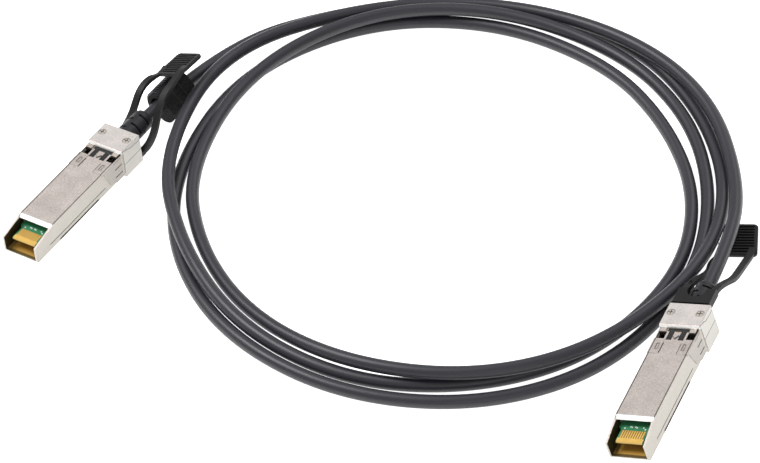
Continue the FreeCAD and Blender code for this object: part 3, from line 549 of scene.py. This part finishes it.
leadSpec = {
    "radius": 0.00225,
    "roundness": 6,
    "smoothness": 14,
    "length": 2.05,
    "route": [
        (-0.11032, -0.00496, 0.0066), (-0.11032, 0.05004, 0.0066), (-0.08076, 0.09654, 0.0023),
        (-0.03726, 0.12154, 0.0023), (0.01424, 0.12404, 0.0023), (0.05324, 0.10304, 0.0023),
        (0.08224, 0.06854, 0.0034), (0.09274, 0.02754, 0.0074), (0.08124, -0.01596, 0.0072),
        (0.05474, -0.04496, 0.0074), (0.01524, -0.05796, 0.0066), (-0.02576, -0.05146, 0.0025),
        (-0.05926, -0.03246, 0.0023), (-0.08476, -0.00246, 0.0031), (-0.09326, 0.04654, 0.0061),
        (-0.07376, 0.09004, 0.0075), (-0.03426, 0.11354, 0.0074), (0.01374, 0.11704, 0.0031),
        (0.05074, 0.09854, 0.0023), (0.07724, 0.06604, 0.0023), (0.09074, 0.02704, 0.0023),
        (0.08574, -0.01846, 0.0023), (0.05874, -0.05146, 0.0023), (0.01624, -0.06746, 0.0023),
        (-0.02926, -0.06196, 0.0023), (-0.06526, -0.03896, 0.0023), (-0.08926, -0.00396, 0.0023),
        (-0.09726, 0.04704, 0.0023), (-0.07476, 0.09054, 0.0023), (-0.03326, 0.11204, 0.0023),
        (0.01274, 0.10954, 0.0023), (0.04574, 0.09154, 0.0023), (0.07274, 0.06354, 0.0023),
        (0.08574, 0.02704, 0.0023), (0.07874, -0.01496, 0.0023), (0.05374, -0.04496, 0.0023),
        (0.01574, -0.06146, 0.0023), (-0.02726, -0.05796, 0.004), (-0.06376, -0.03696, 0.0074),
        (-0.09326, -0.00446, 0.0076), (-0.10576, 0.04904, 0.0086), (-0.07776, 0.09404, 0.0056),
        (-0.03576, 0.11854, 0.0057), (0.01374, 0.12154, 0.007), (0.05474, 0.10554, 0.0075),
        (0.08524, 0.07054, 0.0061), (0.09707, 0.03766, 0.00929), (0.10147, 0.00749, 0.00831)],
}


def addLead(spec):
    data = bpy.data.curves.new("lead", "CURVE")
    data.dimensions = "3D"
    data.bevel_depth = spec["radius"]
    data.bevel_resolution = spec["roundness"]
    data.resolution_u = spec["smoothness"]
    data.use_fill_caps = True
    spline = data.splines.new("NURBS")
    spline.points.add(len(spec["route"]) - 1)
    for point, spot in zip(spline.points, spec["route"]):
        point.co = (*spot, 1)
    spline.order_u = 3
    spline.use_endpoint_u = True
    lead = bpy.data.objects.new("lead", data)
    bpy.context.collection.objects.link(lead)
    data.materials.append(finishes["jacket"])
    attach(lead, "lead")
    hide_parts("cable")
    return lead


lead = addLead(leadSpec)
print("lead laid")

# ribs of the wound tie and the cheek of the right pull tab

ribSpec = {
    "count": 13,
    "centre": (-0.11032, 0.0066),
    "inner": 0.0036,
    "outer": 0.0050,
    "thick": 0.0005,
    "start": 0.0182,
    "pitch": 0.00104,
    "first": 95,  # degrees, from the right side over the top
    "last": 250,
    "segments": 14,
    "endShare": 0.3,  # how much of its height a rib keeps at its ends
}

cheekSpec = {  # in millimetres on the plug, but for the bevel in metres
    "low": (-5.6, 60.2, 3.8),
    "high": (-4.7, 72.0, 8.2),
    "bevel": 0.0003,
}


def addMesh(name, shape, finish, body):
    data = bpy.data.meshes.new(name)
    shape.to_mesh(data)
    shape.free()
    thing = bpy.data.objects.new(name, data)
    bpy.context.collection.objects.link(thing)
    paint(thing, finish)
    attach(thing, body)
    return thing


def tieRibs(spec):
    shape = bmesh.new()
    for number in range(spec["count"]):
        near = spec["start"] + number * spec["pitch"]
        loops = []
        for step in range(spec["segments"] + 1):
            share = step / spec["segments"]
            turn = math.radians(spec["first"] + (spec["last"] - spec["first"]) * share)
            swell = math.sin(math.pi * share) ** 0.5 if 0 < share < 1 else 0
            height = spec["endShare"] + (1 - spec["endShare"]) * swell
            outer = spec["inner"] + (spec["outer"] - spec["inner"]) * height
            corners = [(spec["inner"], near), (outer, near), (outer, near + spec["thick"]),
                       (spec["inner"], near + spec["thick"])]
            loops.append([shape.verts.new((spec["centre"][0] + reach * math.cos(turn), y,
                                           spec["centre"][1] + reach * math.sin(turn)))
                          for reach, y in corners])
        for first, second in zip(loops, loops[1:]):
            for side in range(4):
                other = (side + 1) % 4
                shape.faces.new((first[side], first[other], second[other], second[side]))
        shape.faces.new(loops[0][::-1])
        shape.faces.new(loops[-1])
    return shape


def tabCheek(spec, plug):
    shape = bmesh.new()
    size = [high - low for low, high in zip(spec["low"], spec["high"])]
    middle = Vector([(high + low) / 2 for low, high in zip(spec["low"], spec["high"])])
    bmesh.ops.create_cube(shape, size=1)
    for corner in shape.verts:
        corner.co = Vector([along * length for along, length in zip(corner.co, size)]) + middle
        corner.co *= millimetre
    bmesh.ops.bevel(shape, geom=shape.edges[:], offset=spec["bevel"], segments=2, affect="EDGES")
    turn = plug["turn"].to_matrix().to_4x4()
    bmesh.ops.transform(shape, matrix=Matrix.Translation(plug["nose"]) @ turn, verts=shape.verts)
    return shape


addMesh("tieRibs", tieRibs(ribSpec), "jacket", "lead")
addMesh("rightTabCheek", tabCheek(cheekSpec, plugs["right"]), "tab", "right_latch")
print("tie ribs and tab cheek added")

# studio

lights = {
    "key": {"spot": (-0.9, -0.2, 1.4), "size": 0.7, "power": 19.0},
    "fill": {"spot": (1.0, -1.1, 0.9), "size": 0.9, "power": 3.2},
    "back": {"spot": (0.1, 1.3, 1.2), "size": 1.0, "power": 6.0},
}

roomSpec = {
    "glow": 0.48,
    "reach": 3,
    "drop": 0.0003,  # keeps the floor just below the cable
    "white": rgb(1, 1, 1),
    "floor": rgb(0.9, 0.9, 0.9),
    "floorRoughness": 0.8,
    "floorGlow": 1.0,
}


def addLight(name, spec):
    data = bpy.data.lights.new(name, "AREA")
    data.size = spec["size"]
    data.energy = spec["power"]
    lamp = bpy.data.objects.new(name, data)
    lamp.location = spec["spot"]
    lamp.rotation_mode = "QUATERNION"
    lamp.rotation_quaternion = Vector(spec["spot"]).to_track_quat("Z", "Y")
    bpy.context.collection.objects.link(lamp)


def addWorld(spec):
    world = bpy.data.worlds.new("studio")
    world.use_nodes = True
    background = world.node_tree.nodes["Background"]
    background.inputs["Color"].default_value = spec["white"]
    background.inputs["Strength"].default_value = spec["glow"]
    bpy.context.scene.world = world


def addFloor(spec):
    reach = spec["reach"]
    mesh = bpy.data.meshes.new("floor")
    mesh.from_pydata([(-reach, -reach, 0), (reach, -reach, 0), (reach, reach, 0), (-reach, reach, 0)],
                     [], [(0, 1, 2, 3)])
    graph = Graph("floorWhite")
    mesh.materials.append(graph.surface(Base_Color=spec["floor"], Roughness=spec["floorRoughness"],
                                        Emission_Color=spec["white"], Emission_Strength=spec["floorGlow"]))
    floor = bpy.data.objects.new("floor", mesh)
    floor.location.z = -spec["drop"]
    floor.visible_diffuse = False  # its light would wash out the shaded sides
    bpy.context.collection.objects.link(floor)
    return floor


for name, spec in lights.items():
    addLight(name, spec)
addWorld(roomSpec)
floor = addFloor(roomSpec)
bpy.context.scene.view_settings.view_transform = "Standard"
print("studio lit")

print("scene ready")
